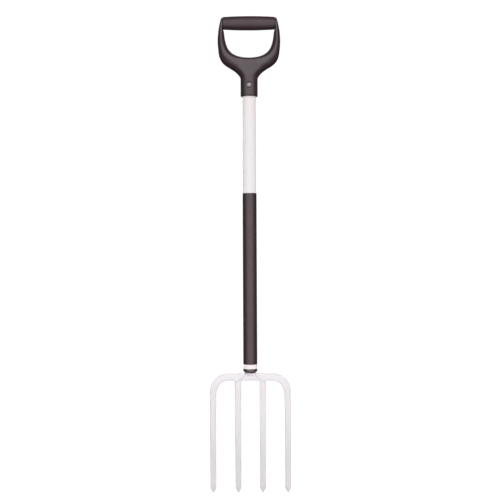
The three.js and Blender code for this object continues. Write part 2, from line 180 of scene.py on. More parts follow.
class Outline:
    """Distance to a closed outline in the XZ plane, positive inside, looked up from a fine grid.
    The outline is given by its +X half and mirrored."""
    STEP = 0.4

    def __init__(self, half, low, high, blur):
        step = self.STEP
        self.low = np.array(low, float)
        size = np.ceil((np.array(high) - self.low) / step).astype(int) + 1
        X, Z = np.meshgrid(self.low[0] + step * np.arange(size[0]),
                           self.low[1] + step * np.arange(size[1]), indexing="ij")
        nearest = np.full(X.shape, 1e9)
        inside = np.zeros(X.shape, bool)
        points = np.array(half + [(-x, z) for x, z in half[::-1]], float)
        for a, b in zip(points, np.roll(points, -1, 0)):
            e = b - a
            squared = e @ e
            if squared < 1e-12:
                continue
            t = np.clip(((X - a[0]) * e[0] + (Z - a[1]) * e[1]) / squared, 0, 1)
            nearest = np.minimum(nearest, (X - a[0] - t * e[0]) ** 2 + (Z - a[1] - t * e[1]) ** 2)
            if a[1] != b[1]:
                level = (a[1] > Z) != (b[1] > Z)
                inside ^= level & (X < e[0] * (Z - a[1]) / e[1] + a[0])
        d = np.sqrt(nearest) * np.where(inside, 1, -1)
        # a Gaussian blur rounds the creases of the distance field
        r = int(3 * blur / step) + 1
        weights = np.exp(-0.5 * (np.arange(-r, r + 1) * step / blur) ** 2)
        weights /= weights.sum()
        for axis in (0, 1):
            pad = np.pad(d, [(r, r) if m == axis else (0, 0) for m in (0, 1)], mode="edge")
            d = sum(weights[i] * np.take(pad, np.arange(i, i + d.shape[axis]), axis)
                    for i in range(2 * r + 1))
        self.distance = d

    def __call__(self, x, z):
        d = self.distance
        u = np.clip((x - self.low[0]) / self.STEP, 0, d.shape[0] - 1.001)
        v = np.clip((z - self.low[1]) / self.STEP, 0, d.shape[1] - 1.001)
        i, j = u.astype(int), v.astype(int)
        fu, fv = u - i, v - j
        return ((d[i, j] * (1 - fu) + d[i + 1, j] * fu) * (1 - fv)
                + (d[i, j + 1] * (1 - fu) + d[i + 1, j + 1] * fu) * fv)


# ------------------------------------------------------------------ meshes; a shape is (verts, faces)
def add(name, shape, replaces, material, sharp=None):
    verts, faces = shape
    mesh = bpy.data.meshes.new(name)
    mesh.from_pydata((verts * MM).tolist(), [], [list(map(int, face)) for face in faces])
    mesh.update()
    mesh.validate()
    for polygon in mesh.polygons:
        polygon.use_smooth = True
    if sharp is not None:
        mesh.set_sharp_from_angle(angle=math.radians(sharp))
    obj = bpy.data.objects.new(name, mesh)
    scene.collection.objects.link(obj)
    mesh.materials.append(material)
    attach(obj, "root")
    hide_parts(replaces)


def add_pair(piece, shape, material):
    """A head piece on the right (+X) and its mirror image on the left."""
    verts, quads = shape
    for side, sign in (("right", 1), ("left", -1)):
        mirrored = verts * np.array([sign, 1, 1]), quads[:, ::sign]
        add(f"{piece}_{side}_finished", mirrored, f"{piece}_{side}", material)


def fillet(points, radii, steps=6):
    """Replaces each corner of a profile by an arc of the radius given for it; 0 keeps it sharp."""
    p = [np.array(q, float) for q in points]
    out = []
    for i, (q, radius) in enumerate(zip(p, radii)):
        if radius <= 0:
            out.append(q)
            continue
        a, b = p[i - 1] - q, p[(i + 1) % len(p)] - q
        length_a, length_b = np.linalg.norm(a), np.linalg.norm(b)
        a, b = a / length_a, b / length_b
        half = math.acos(max(-1, min(1, float(a @ b)))) / 2
        cut = min(radius / math.tan(half), 0.48 * length_a, 0.48 * length_b)
        r = cut * math.tan(half)
        centre = q + (a + b) / np.linalg.norm(a + b) * (r / math.sin(half))
        start, end = q + a * cut - centre, q + b * cut - centre
        angle = math.acos(max(-1, min(1, float(start @ end) / (r * r))))
        for k in range(steps + 1):
            t = k / steps
            out.append(centre + (math.sin((1 - t) * angle) * start + math.sin(t * angle) * end)
                       / max(math.sin(angle), 1e-9))
    return [tuple(map(float, q)) for q in out]


def densify(points, longest, closed=True):
    """Splits the profile's lines so that none is longer than the limit."""
    out = []
    for i in range(len(points) if closed else len(points) - 1):
        a, b = np.array(points[i], float), np.array(points[(i + 1) % len(points)], float)
        parts = max(1, int(math.ceil(np.linalg.norm(b - a) / longest)))
        out += [tuple(a + (b - a) * j / parts) for j in range(parts)]
    if not closed:
        out.append(tuple(points[-1]))
    return out


def circles(profile, seg):
    angle = 2 * math.pi * np.arange(seg) / seg
    r, z = np.array(profile, float).T[:, :, None]
    z = np.broadcast_to(z, (len(profile), seg))
    return np.stack([r * np.cos(angle), r * np.sin(angle), z], 2).reshape(-1, 3)


def bands(count, rings, seg):
    """Quads that join each of the first rings to the next one, the last to the first."""
    return [[i * seg + j, i * seg + (j + 1) % seg,
             (i + 1) % rings * seg + (j + 1) % seg, (i + 1) % rings * seg + j]
            for i in range(count) for j in range(seg)]


def turned_ring(profile, seg):
    """Turns a closed anticlockwise profile of (radius, height) round Z."""
    return circles(profile, seg), bands(len(profile), len(profile), seg)


def turned_solid(profile, seg):
    """Turns an open profile that runs upward and starts and ends on the axis."""
    rings = len(profile) - 2
    verts = np.vstack([circles(profile[1:-1], seg), [0, 0, profile[0][1]], [0, 0, profile[-1][1]]])
    faces = bands(rings - 1, rings, seg)
    bottom, top, last = rings * seg, rings * seg + 1, (rings - 1) * seg
    for j in range(seg):
        faces.append([bottom, (j + 1) % seg, j])
        faces.append([top, last + j, last + (j + 1) % seg])
    return verts, faces


ALONG_X, ALONG_Y = [2, 1, 0], [0, 2, 1]  # which of a turned shape's axes become x, y and -z


def laid(shape, axes, z):
    """A shape turned round Z, laid along another axis at height z."""
    verts = shape[0][:, axes] * np.array([1, 1, -1])
    verts[:, 2] += z
    return verts, shape[1]


# ------------------------------------------------------------------ shader nodes
def rgb(r, g, b):
    return (r, g, b, 1.0)


def scaled(colour, factor):
    return tuple(min(1, c * factor) for c in colour[:3]) + (1,)


def fill_inputs(tree, node, inputs):
    """Sets each input to a value, or links it when it is given a socket."""
    for key, value in inputs.items():
        if isinstance(value, bpy.types.NodeSocket):
            tree.links.new(value, node.inputs[key])
        else:
            node.inputs[key].default_value = value


def add_node(tree, kind, inputs, **settings):
    node = tree.nodes.new(kind)
    for key, value in settings.items():
        setattr(node, key, value)
    fill_inputs(tree, node, inputs)
    return node


def add_ramp(tree, fac, stops):
    """Stops are (position, colour or grey level)."""
    node = add_node(tree, "ShaderNodeValToRGB", {"Fac": fac})
    elements = node.color_ramp.elements
    while len(elements) < len(stops):
        elements.new(0.5)
    for element, (position, value) in zip(elements, stops):
        element.position = position
        element.color = value if isinstance(value, tuple) else (value, value, value, 1)
    return node.outputs["Color"]


class Shader:
    """A material with a Principled BSDF; each method adds a node and returns its output."""

    def __init__(self, name):
        self.material = bpy.data.materials.new(name)
        self.material.use_nodes = True
        self.tree = self.material.node_tree
        self.coord = self.new("ShaderNodeTexCoord").outputs["Object"]

    def new(self, kind, inputs={}, **settings):
        return add_node(self.tree, kind, inputs, **settings)

    def mapped(self, stretch):
        inputs = {"Scale": stretch, "Vector": self.coord}
        return self.new("ShaderNodeMapping", inputs).outputs["Vector"]

    def noise(self, scale, detail, rough=0.5, stretch=(1, 1, 1)):
        inputs = {"Scale": scale, "Detail": detail, "Roughness": rough,
                  "Vector": self.mapped(stretch)}
        return self.new("ShaderNodeTexNoise", inputs).outputs["Fac"]

    def cells(self, scale):
        inputs = {"Scale": scale, "Vector": self.mapped((1, 1, 1))}
        return self.new("ShaderNodeTexVoronoi", inputs, feature="SMOOTH_F1").outputs["Distance"]

    def ramp(self, fac, *stops):
        return add_ramp(self.tree, fac, stops)

    def span(self, value, over, to):
        """Maps the range `over` on to the range `to`."""
        inputs = {"From Min": over[0], "From Max": over[1], "To Min": to[0], "To Max": to[1],
                  "Value": value}
        return self.new("ShaderNodeMapRange", inputs).outputs["Result"]

    def math(self, operation, a, b):
        return self.new("ShaderNodeMath", {0: a, 1: b}, operation=operation).outputs["Value"]

    def mix(self, fac, a, b):
        return self.new("ShaderNodeMix", {0: fac, 6: a, 7: b}, data_type="RGBA").outputs[2]

    def height(self):
        return self.new("ShaderNodeSeparateXYZ", {"Vector": self.coord}).outputs[2]

    def shifted(self, colour, shifts):
        """Slow colour changes along the tool, which on the handle, tube and head are painted light
        and shade; shifts are (colour, from z, to z, amount).
        """
        for other, start, end, amount in shifts:
            fac = self.span(self.height(), over=(start * MM, end * MM), to=(0.0, amount))
            colour = self.mix(fac, colour, other)
        return colour

    def edges(self, over):
        """1 on outside edges, 0 on flat and hollow places."""
        pointiness = self.new("ShaderNodeNewGeometry").outputs["Pointiness"]
        return self.span(pointiness, over, to=(0.0, 1.0))

    def bump(self, height, strength, distance, normal=None):
        inputs = {"Strength": strength, "Distance": distance * MM, "Height": height}
        if normal is not None:
            inputs["Normal"] = normal
        return self.new("ShaderNodeBump", inputs).outputs["Normal"]

    def finish(self, inputs):
        fill_inputs(self.tree, self.tree.nodes["Principled BSDF"], inputs)
        return self.material


# ------------------------------------------------------------------ kinds of material
def plastic(name, base, light, dark, rough, grain, depth, specular, streak=None, shifts=()):
    """Moulded plastic: slow tone change, fine sparked grain, faint duller and paler scuffs."""
    s = Shader(name)
    tone = s.ramp(s.noise(scale=14, detail=3), (0.3, dark), (0.72, light))
    speck = s.noise(scale=900, detail=2)
    colour = s.mix(s.span(speck, over=(0.35, 0.75), to=(0.0, 0.22)), tone, base)
    colour = s.shifted(colour, shifts)
    scuff = s.noise(scale=60, detail=6, rough=0.7, stretch=(1, 1, 0.35))
    scuff = s.math("MULTIPLY", s.ramp(scuff, (0.60, 0.0), (0.74, 1.0)), 0.10)
    colour = s.mix(scuff, colour, scaled(base, 1.9))
    worn = s.span(s.noise(scale=120, detail=4), over=(0.4, 0.7), to=(0.0, 0.35))
    wear = s.math("MULTIPLY", s.edges(over=(0.52, 0.62)), worn)
    colour = s.mix(wear, colour, scaled(base, 1.7))
    # scuffs are rougher, worn edges smoother
    roughness = s.span(s.noise(scale=35, detail=4), over=(0.3, 0.7), to=(rough - 0.05, rough + 0.06))
    roughness = s.math("ADD", roughness, scuff)
    roughness = s.math("SUBTRACT", roughness, s.math("MULTIPLY", wear, 0.12))
    normal = s.bump(s.cells(scale=grain), strength=0.55, distance=depth)
    coarse = s.noise(scale=grain * 0.45, detail=2)
    normal = s.bump(coarse, strength=0.35, distance=depth * 1.3, normal=normal)
    if streak:
        lines = s.noise(scale=streak, detail=2, stretch=(1, 1, 0.02))
        normal = s.bump(lines, strength=0.25, distance=0.05, normal=normal)
    return s.finish({"Base Color": colour, "Roughness": roughness, "Normal": normal,
                     "Specular IOR Level": specular})


def coat(name, base, cool, rough, peel, specular, tips=False, shifts=()):
    """Powder coat: orange-peel surface, faint tone change, fine darker specks, rubbed edges."""
    s = Shader(name)
    colour = s.ramp(s.noise(scale=9, detail=3), (0.3, cool), (0.7, base))
    colour = s.shifted(colour, shifts)
    dust = s.ramp(s.noise(scale=260, detail=5, rough=0.65), (0.62, 0.0), (0.80, 1.0))
    colour = s.mix(s.math("MULTIPLY", dust, 0.10), colour, scaled(base, 0.72))
    rubbed = s.noise(scale=180, detail=5, rough=0.7)
    rub = s.math("MULTIPLY", s.edges(over=(0.53, 0.66)),
                 s.span(rubbed, over=(0.48, 0.68), to=(0.0, 0.30)))
    colour = s.mix(rub, colour, rgb(0.52, 0.50, 0.50))
    if tips:  # the coat is a little greyer over the last centimetres of the tines (z in metres)
        low = s.span(s.height(), over=(-0.225, -0.272), to=(0.0, 1.0))
        patchy = s.noise(scale=150, detail=5, rough=0.7, stretch=(1, 1, 0.4))
        at_tip = s.math("MULTIPLY", low, s.span(patchy, over=(0.42, 0.66), to=(0.0, 0.05)))
        colour = s.mix(at_tip, colour, rgb(0.50, 0.48, 0.49))
    roughness = s.span(s.noise(scale=22, detail=4), over=(0.3, 0.7), to=(rough - 0.05, rough + 0.07))
    roughness = s.math("ADD", roughness, s.math("MULTIPLY", rub, 0.12))
    normal = s.bump(s.noise(scale=peel, detail=2, rough=0.45), strength=0.5, distance=0.05)
    fine = s.noise(scale=peel * 6, detail=2)
    normal = s.bump(fine, strength=0.22, distance=0.012, normal=normal)
    return s.finish({"Base Color": colour, "Roughness": roughness, "Normal": normal,
                     "Specular IOR Level": specular, "Diffuse Roughness": 0.8})


def metal(name, base, rough, stretch):
    s = Shader(name)
    colour = s.ramp(s.noise(scale=240, detail=4), (0.3, scaled(base, 0.82)), (0.7, base))
    brushed = s.noise(scale=400, detail=4, rough=0.6, stretch=stretch)
    roughness = s.span(brushed, over=(0.3, 0.7), to=(rough - 0.08, rough + 0.12))
    lines = s.noise(scale=700, detail=3, rough=0.6, stretch=stretch)
    normal = s.bump(lines, strength=0.2, distance=0.01)
    return s.finish({"Base Color": colour, "Metallic": 1.0, "Roughness": roughness,
                     "Normal": normal})


# ------------------------------------------------------------------ materials
# the dark plastics owe most of what they show to their sheen
HANDLE_PLASTIC = plastic(
    "handle_moulded_plastic", base=rgb(0.031, 0.015, 0.021), light=rgb(0.035, 0.018, 0.024),
    dark=rgb(0.027, 0.013, 0.018), rough=0.43, grain=2600, depth=0.03, specular=0.58,
    # shifts: warmer toward the socket's bottom, painted bounce light from the white tube
    shifts=[(rgb(0.030, 0.016, 0.010), 690, 664, 0.8)])
GRIP_PLASTIC = plastic(
    "grip_soft_touch", base=rgb(0.037, 0.019, 0.026), light=rgb(0.041, 0.022, 0.029),
    dark=rgb(0.033, 0.016, 0.023), rough=0.42, grain=3400, depth=0.03, specular=0.37)
SLEEVE_PLASTIC = plastic(
    "sleeve_extruded_plastic", base=rgb(0.040, 0.018, 0.020), light=rgb(0.043, 0.020, 0.022),
    dark=rgb(0.036, 0.016, 0.018), rough=0.42, grain=3000, depth=0.02, specular=0.54, streak=500,
    shifts=[(rgb(0.026, 0.019, 0.024), 400, 430, 0.9)])
COLLAR_PLASTIC = plastic(
    "collar_plastic", base=rgb(0.044, 0.030, 0.033), light=rgb(0.048, 0.033, 0.036),
    dark=rgb(0.040, 0.027, 0.030), rough=0.46, grain=2600, depth=0.02, specular=0.85)
TUBE_COAT = coat(
    "tube_powder_coat", base=rgb(0.733, 0.722, 0.733), cool=rgb(0.712, 0.701, 0.712),
    rough=0.42, peel=620, specular=0.45,
    # shifts: warmer toward the socket, a painted reflection of the reddish socket; brighter and
    # warmer below the sleeve, a painted highlight on the band between sleeve and collar
    shifts=[(rgb(0.744, 0.694, 0.688), 560, 663, 0.8), (rgb(0.80, 0.745, 0.745), 60, 40, 1.0)])
HEAD_COAT = coat(
    "head_powder_coat", base=rgb(0.733, 0.712, 0.733), cool=rgb(0.710, 0.690, 0.710),
    rough=0.48, peel=520, specular=0.42, tips=True,
    # shifts: the coat is painted darker from the palm down to the middle of the tines and lighter
    # again toward the tips, painted shade and light for how the shoulders and swept tines are lit
    shifts=[(rgb(0.683, 0.665, 0.683), 4, -25, 1.0), (rgb(0.637, 0.622, 0.640), -75, -165, 1.0),
            (rgb(0.720, 0.700, 0.722), -195, -252, 1.0)])
# the weld's coat is painted darker than the head's: painted shade that draws the seam as a faint line
WELD_COAT_PAINTED_SHADE = coat(
    "weld_powder_coat", base=rgb(0.66, 0.632, 0.652), cool=rgb(0.58, 0.555, 0.575),
    rough=0.52, peel=420, specular=0.40)
RIVET_METAL = metal("rivet_aluminium", base=rgb(0.36, 0.335, 0.34), rough=0.52, stretch=(1, 1, 1))
PIN_METAL = metal("pin_zinc_steel", base=rgb(0.22, 0.215, 0.225), rough=0.45, stretch=(1, 0.1, 1))


# ------------------------------------------------------------------ head outline
def inner_edge(z, side):
    """x of the inner tine's edge: side -1 is toward the shaft's axis, 1 away from it."""
    return INNER_X + side * lerp(*INNER_WIDTHS, z / TAPER_Z) / 2


def outer_edge(z, side):
    x = OUTER_XS[0] + (OUTER_XS[1] - OUTER_XS[0]) * (z - BEND_Z) / (TIP_Z - BEND_Z)
    return x + side * lerp(*OUTER_WIDTHS, (z - BEND_Z) / (TAPER_Z - BEND_Z)) / 2


def tine(edge, tip_x, top):
    """Down one edge of a tine, round its tip and up the other edge as far as z = top."""
    left, right = float(edge(TAPER_Z, -1)), float(edge(TAPER_Z, 1))
    return ([(float(edge(z, -1)), z) for z in (-60, -140, -220, TAPER_Z + 1.5)]
            + arc(left + 1.2, TAPER_Z - 0.4, 1.2, 180, 210, 3)
            + arc(tip_x, TIP_Z + 0.9, 0.8, 215, 325, 6)
            + arc(right - 1.2, TAPER_Z - 0.4, 1.2, -30, 0, 3)
            + [(float(edge(z, 1)), z) for z in (-220, -140, -60, top)])


# lower edge of the palm where it curves into the outer tine: (x, z)
SHOULDER = [(45, 0), (51, -0.1), (57.6, -0.8), (63.2, -2.7), (67.8, -5.6), (71.4, -9.4),
            (74.3, -13.6), (76.8, -18.3), (78.7, -23), (79.7, -28), (80.0, -36)]
HEAD = Outline([(0, 0)]
               + arc(inner_edge(-5.5, -1) - 5.2, -5.2, 5.2, 90, 0, 8)
               + tine(inner_edge, INNER_X, -8)
               + arc(inner_edge(-4, 1) + 3.4, -3.4, 3.4, 180, 90, 6)
               + spline(SHOULDER)
               + tine(outer_edge, OUTER_XS[1], -30)
               + arc(BEND_X, BEND_Z, BEND_R, 0, 90, 28)
               + [(0, PALM_TOP)], low=(-1, -282), high=(101, 27), blur=0.55)

# the weld seam runs down from the palm's top at x = SEAM_X, then slants from A to B at the crotch
SEAM_X, SEAM_END_X = 12.8, 39.0
SEAM_A, SEAM_B = np.array([SEAM_X, 11.2]), np.array([37.6, -6.3])
SEAM_DIR = (SEAM_B - SEAM_A) / np.linalg.norm(SEAM_B - SEAM_A)
SEAM_NORMAL = np.array([-SEAM_DIR[1], SEAM_DIR[0]])
SEAM_GAP = 0.4  # each piece stops this far from the seam
EDGE_WIDTH, EDGE_POWER = 4.6, 2.15  # how far in, and how squarely, the bar's edges are rounded


def seam_side(x, z):
    """Distance to the weld seam, positive on the outer tine's side."""
    slanted = (x - SEAM_A[0]) * SEAM_NORMAL[0] + (z - SEAM_A[1]) * SEAM_NORMAL[1]
    return np.maximum(smooth_min(slanted, x - SEAM_X, blend=1.5), x - SEAM_END_X)


# ------------------------------------------------------------------ head
def thinning(z):
    """Thickness of the bar as a share of the palm's."""
    tine_share = lerp(1.0, 0.62, (SWEEP_START - z) / (SWEEP_START - TAPER_Z))
    tip_share = lerp(0.62, 0.42, (TAPER_Z - z) / TIP_TAPER)
    return np.where(z > SWEEP_START, 1.0, np.where(z > TAPER_Z, tine_share, tip_share))


def head_bar(x, y, z):
    """The flat bar that the whole head is made of, before its tines are swept back."""
    edge = np.maximum(1 - HEAD(x, z) / EDGE_WIDTH, 0)
    half = PALM_HALF * thinning(z)
    p = EDGE_POWER
    return (((np.abs(y) / half) ** p + edge ** p) ** (1 / p) - 1) * np.minimum(half, 4.0)


def tang(x, y, z):
    """Round bar with a domed lower end sunk in the palm."""
    low = np.minimum(z - 17.5, 0)
    return np.maximum(np.sqrt(x * x + y * y + 3.2 * low * low) - TANG_R, z - TANG_TOP)


def centre_forging(x, y, z):
    ax = np.abs(x)
    bar = smooth_max(head_bar(ax, y, z), seam_side(ax, z) + SEAM_GAP, blend=0.6)
    body = smooth_min(bar, tang(x, y, z), blend=3.5)
    # above the palm the blend may not swell the tang
    limit = np.where(z < 17.6, -99, np.sqrt(x * x + y * y) - TANG_R - 0.02)
    pin_hole = PIN_R + 0.3 - np.sqrt(x * x + (z - PIN_Z) ** 2)
    return smooth_max(np.maximum(body, limit), pin_hole, blend=0.6)


def outer_tine(x, y, z):
    return smooth_max(head_bar(x, y, z), SEAM_GAP - seam_side(x, z), blend=0.6)


def weld_bead(x, y, z):
    """Weld metal: fills the seam and stands barely proud of both faces, in rounded ripples."""
    along = (x - SEAM_A[0]) * SEAM_DIR[0] + (z - SEAM_A[1]) * SEAM_DIR[1]
    across = seam_side(x, z)
    ripple = 0.08 * np.abs(np.sin(math.pi * (along - 0.1 * across * across) / 2.3)) ** 0.7
    ends = np.maximum(np.maximum(z - 15.4, x - 35.2), 0)
    web = np.maximum(np.maximum(np.abs(across) - 0.2, np.abs(y) - PALM_HALF + 0.6), 0)
    web = np.sqrt(web ** 2 + ends ** 2) - 0.08
    proud = np.abs(y) - (PALM_HALF - 0.3)
    cap = np.sqrt((across / 1.5) ** 2 + (proud / 0.5) ** 2 + (ends / 1.5) ** 2) - 1
    bead = smooth_min(web, cap * 0.5 - ripple, blend=0.3)
    return smooth_max(bead, head_bar(x, y, z) - 0.16, blend=0.2)


def swept(shape):
    """Sweeps the tines back (+Y): a parabola, then a straight slope."""
    verts = shape[0].copy()
    z = verts[:, 2]
    length = SWEEP_START - SWEEP_END
    u = np.clip(SWEEP_START - z, 0, length)
    verts[:, 1] += SWEEP_SLOPE * u * u / (2 * length) + np.maximum(0, SWEEP_END - z) * SWEEP_SLOPE
    return verts, shape[1]


def build_head():
    bottom = TIP_Z - 0.5
    centre = implicit(centre_forging, (-38.5, -10.5, bottom), (38.5, 10.5, TANG_TOP + 0.5), step=1.0)
    add("centre_forging_finished", swept(centre), "centre_forging", HEAD_COAT)
    outer = implicit(outer_tine, (11, -5.6, bottom), (98, 5.6, 18), step=1.0)
    add_pair("outer_tine", swept(outer), HEAD_COAT)
    add_pair("weld_bead", implicit(weld_bead, (10.5, -6.0, -8), (38, 6.0, 18), step=0.45), WELD_COAT_PAINTED_SHADE)


# ------------------------------------------------------------------ bush, pin, tube and sleeve
def build_bush():
    """Bush round the tang, with its collar at the bottom."""
    profile = fillet([(BUSH_BORE, COLLAR_BOTTOM), (13.2, COLLAR_BOTTOM), (13.9, COLLAR_BOTTOM + 2.4),
                      (16.2, COLLAR_BOTTOM + 3.0), (16.6, COLLAR_TOP), (BUSH_R, COLLAR_TOP),
                      (BUSH_R, BUSH_TOP), (BUSH_BORE, BUSH_TOP)],
                     [0.3, 0.9, 0.6, 1.1, 1.0, 0.0, 1.0, 0.3])
    add("tang_bush_and_collar", turned_ring(densify(profile, 6.0), 96), "tang_bush_collar",
        COLLAR_PLASTIC, sharp=40)


def build_pin():
    """Pin through the tang, from front to back."""
    profile = fillet([(0, -PIN_HALF), (PIN_R, -PIN_HALF), (PIN_R, PIN_HALF), (0, PIN_HALF)],
                     [0, 0.5, 0.5, 0])
    pin = turned_solid(densify(profile, 3.0, closed=False), 40)
    add("tang_pin_finished", laid(pin, ALONG_Y, PIN_Z), "tang_cross_pin", PIN_METAL,
        sharp=40)


def pipe(bore, radius, bottom, top, radii, steps, longest):
    corners = [(bore, bottom), (radius, bottom), (radius, top), (bore, top)]
    return turned_ring(densify(fillet(corners, radii, steps), longest), 112)


def build_shaft():
    tube = pipe(TUBE_BORE, TUBE_R, TUBE_BOTTOM, TUBE_TOP, radii=[0.35] * 4, steps=4, longest=8.0)
    add("shaft_tube_finished", tube, "shaft_tube", TUBE_COAT, sharp=40)
    sleeve = pipe(SLEEVE_BORE, SLEEVE_R, SLEEVE_BOTTOM, SLEEVE_TOP,
                  radii=[0.15, 0.5, 0.85, 0.1], steps=6, longest=7.0)
    add("shaft_sleeve_finished", sleeve, "shaft_sleeve", SLEEVE_PLASTIC, sharp=40)


# ------------------------------------------------------------------ handle yoke
# outer edge of the yoke, from the socket up to the ears: (x, z)
YOKE_OUTSIDE = [
    (20.2, 704), (20.6, 708.7), (23.0, 713.4), (26.8, 718.1), (31.8, 722.8), (38.1, 727.4),
    (45.6, 732.1), (53.2, 736.8), (59.0, 741.5), (63.3, 746.2), (66.2, 750.9), (68.5, 755.6),
    (69.8, 760.3), (71.0, 765.0), (72.0, 774.3), (73.0, 783.7), (73.5, 793.1), (73.4, 802.5),
    (72.8, 811.9), (71.7, 821.2), (70.1, 830.6), (69.0, 835.5), (68.1, 840.0), (67.0, 844.0),
    (65.5, 847.4), (63.6, 849.9), (61.0, 851.6), (57.5, 852.4)]
# edge of the hand opening, from its bottom up to the grip: (x, z)
YOKE_OPENING = [
    (0, 757.7), (7, 757.9), (15.2, 758.8), (22.3, 760.2), (29.3, 762.5), (36, 765.7),
    (41.3, 769.4), (45.7, 774.0), (49.1, 778.6), (51.5, 783.5), (54.6, 793.1), (56.6, 802.5),
    (57.5, 810.0), (58.0, 815.5), (59.0, 820.0), (60.4, 823.6), (EAR_X, 827.5), (EAR_X, 834.0)]
SHELL = Outline([(0, 640), (SOCKET_R, 640), (SOCKET_R, 690)] + spline(YOKE_OUTSIDE)
                + [(0, YOKE_OUTSIDE[-1][1])], low=(-1, 638), high=(84, 866), blur=0.8)
HOLE = Outline(spline(YOKE_OPENING) + [(EAR_X, 880)], low=(-1, 738), high=(84, 884), blur=0.45)

# stations along the yoke, each table a list of z (or x) and a list of values
HALF_DEPTH = ([600, 700, 712, 725, 742, 757, 770, 790, 812, 832, 845, 860],
              [20.2, 20.2, 19.9, 19.2, 18.2, 16.6, 14.6, 13.1, 13.2, 14.5, 14.8, 14.8])
OUTER_ROUNDING = ([600, 702, 714, 726, 735, 748, 757, 765, 780, 800, 835, 860],
                  [20.2, 20.2, 16.0, 13.0, 15.5, 18.0, 16.0, 12.4, 9.2, 7.6, 5.0, 3.6])
INNER_ROUNDING_BY_X = ([0, 20, 35, 48], [8.0, 8.0, 9.5, 10.0])
INNER_ROUNDING_SHARE = ([792, 806, 816, 824, 832], [1.0, 0.85, 0.55, 0.25, 0.08])
SECTION_POWER = ([600, 704, 718, 730, 750, 770, 785, 815, 835, 860],  # 2 is round, more is squarer
                 [2, 2, 1.85, 1.6, 1.55, 1.6, 1.62, 1.66, 2.1, 2.4])


def yoke(x, y, z):
    ax = np.abs(x)
    outer_width = np.interp(z, *OUTER_ROUNDING)
    inner_width = np.interp(ax, *INNER_ROUNDING_BY_X) * np.interp(z, *INNER_ROUNDING_SHARE)
    p = np.interp(z, *SECTION_POWER)
    half = np.interp(z, *HALF_DEPTH)
    outer = np.maximum(1 - SHELL(ax, z) / outer_width, 0)
    inner = np.maximum(1 + HOLE(ax, z) / inner_width, 0)
    body = ((np.abs(y) / half) ** p + outer ** p + inner ** p) ** (1 / p) - 1
    body = body * np.minimum(half, 9.0)
    # the ears end as discs round the grip's axis
    disc = np.sqrt(y * y + np.maximum(z - GRIP_Z, 0) ** 2) - 14.7 - np.maximum(GRIP_Z - 6 - z, 0)
    body = smooth_max(body, disc, blend=2.0)
    # end of the socket, with a rounded rim
    body = smooth_max(body, SOCKET_Z - z, blend=3.2)
    # bar through the grip
    bar = np.maximum(np.sqrt(y * y + (z - GRIP_Z) ** 2) - CORE_R, ax - EAR_X - 3)
    body = smooth_min(body, bar, blend=0.8)
    # the socket's bore, with a small lead-in
    lead_in = 0.9 * np.clip((SOCKET_Z + 1.6 - z) / 1.6, 0, 3)
    bore = np.maximum(np.sqrt(x * x + y * y) - BORE_R - lead_in, z - BORE_TOP)
    body = smooth_max(body, -bore, blend=0.9)
    # rivet hole and the round recess it sits in
    from_rivet = np.sqrt(x * x + (z - RIVET_Z) ** 2)
    body = smooth_max(body, -np.maximum(from_rivet - 2.7, y + 8), blend=0.3)
    return smooth_max(body, -np.maximum(from_rivet - RECESS_R, y - RECESS_Y), blend=0.7)


def build_yoke():
    shape = implicit(yoke, (-75, -21, SOCKET_Z - 0.5), (75, 21, 854), step=1.1, rounds=5)
    add("handle_yoke_finished", shape, "handle_yoke", HANDLE_PLASTIC)


# ------------------------------------------------------------------ grip and rivet
def build_grip():
    """Soft grip, barrel shaped, with rolled ends."""
    xs = np.linspace(-GRIP_HALF, GRIP_HALF, 61)
    radii = 16.5 - 1.9 * (np.abs(xs) / GRIP_HALF) ** 2.1
    points = [(GRIP_BORE, -GRIP_HALF), *zip(radii, xs), (GRIP_BORE, GRIP_HALF)]
    profile = fillet(points, [0.2, 0.7] + [0] * (len(points) - 4) + [0.7, 0.2])
    shape = laid(turned_ring(densify(profile, 2.2), 112), ALONG_X, GRIP_Z)
    add("grip_cover_finished", shape, "grip_cover", GRIP_PLASTIC, sharp=40)


def build_rivet():
    """Blind rivet: body with its flange and swelled tail, and the mandrel broken off inside.
    Profiles are (radius, y)."""
    seat = RECESS_Y - 0.1
    profile = fillet([(1.35, seat - 1.5), (2.5, seat - 1.5), (4.3, seat - 1.0), (4.7, seat - 0.2),
                      (4.7, seat), (2.4, seat), (2.4, -13.2), (3.5, -12.6), (3.5, -11.0),
                      (2.2, -10.4), (1.35, -10.4)],
                     [0.15, 1.2, 0.9, 0.15, 0.1, 0.0, 0.3, 0.5, 0.7, 0.3, 0.1], steps=5)
    add("rivet_body_finished", laid(turned_ring(profile, 72), ALONG_Y, RIVET_Z),
        "handle_rivet_body", RIVET_METAL, sharp=35)
    profile = fillet([(0, seat - 1.3), (0.75, seat - 1.3), (1.15, seat - 1.05), (1.15, -10.1),
                      (2.0, -9.9), (2.2, -9.2), (1.5, -8.2), (0, -8.0)],
                     [0, 0.25, 0.2, 0.1, 0.4, 0.5, 0.6, 0], steps=4)
    add("rivet_mandrel_finished", laid(turned_solid(profile, 48), ALONG_Y, RIVET_Z),
        "handle_rivet_mandrel", PIN_METAL, sharp=35)


# ------------------------------------------------------------------ studio (metres)
BACKDROP = (1.0, 0.995, 1.0, 1)  # near-white that the camera sees behind and below the tool
FLOOR_R, FLOOR_Z = 0.17, TIP_Z * MM - 0.0006
FLOOR_GLOW, FLOOR_SEEN, FLOOR_BOUNCE = 0.92, 0.30, 0.80  # glow and grey seen, grey that lights


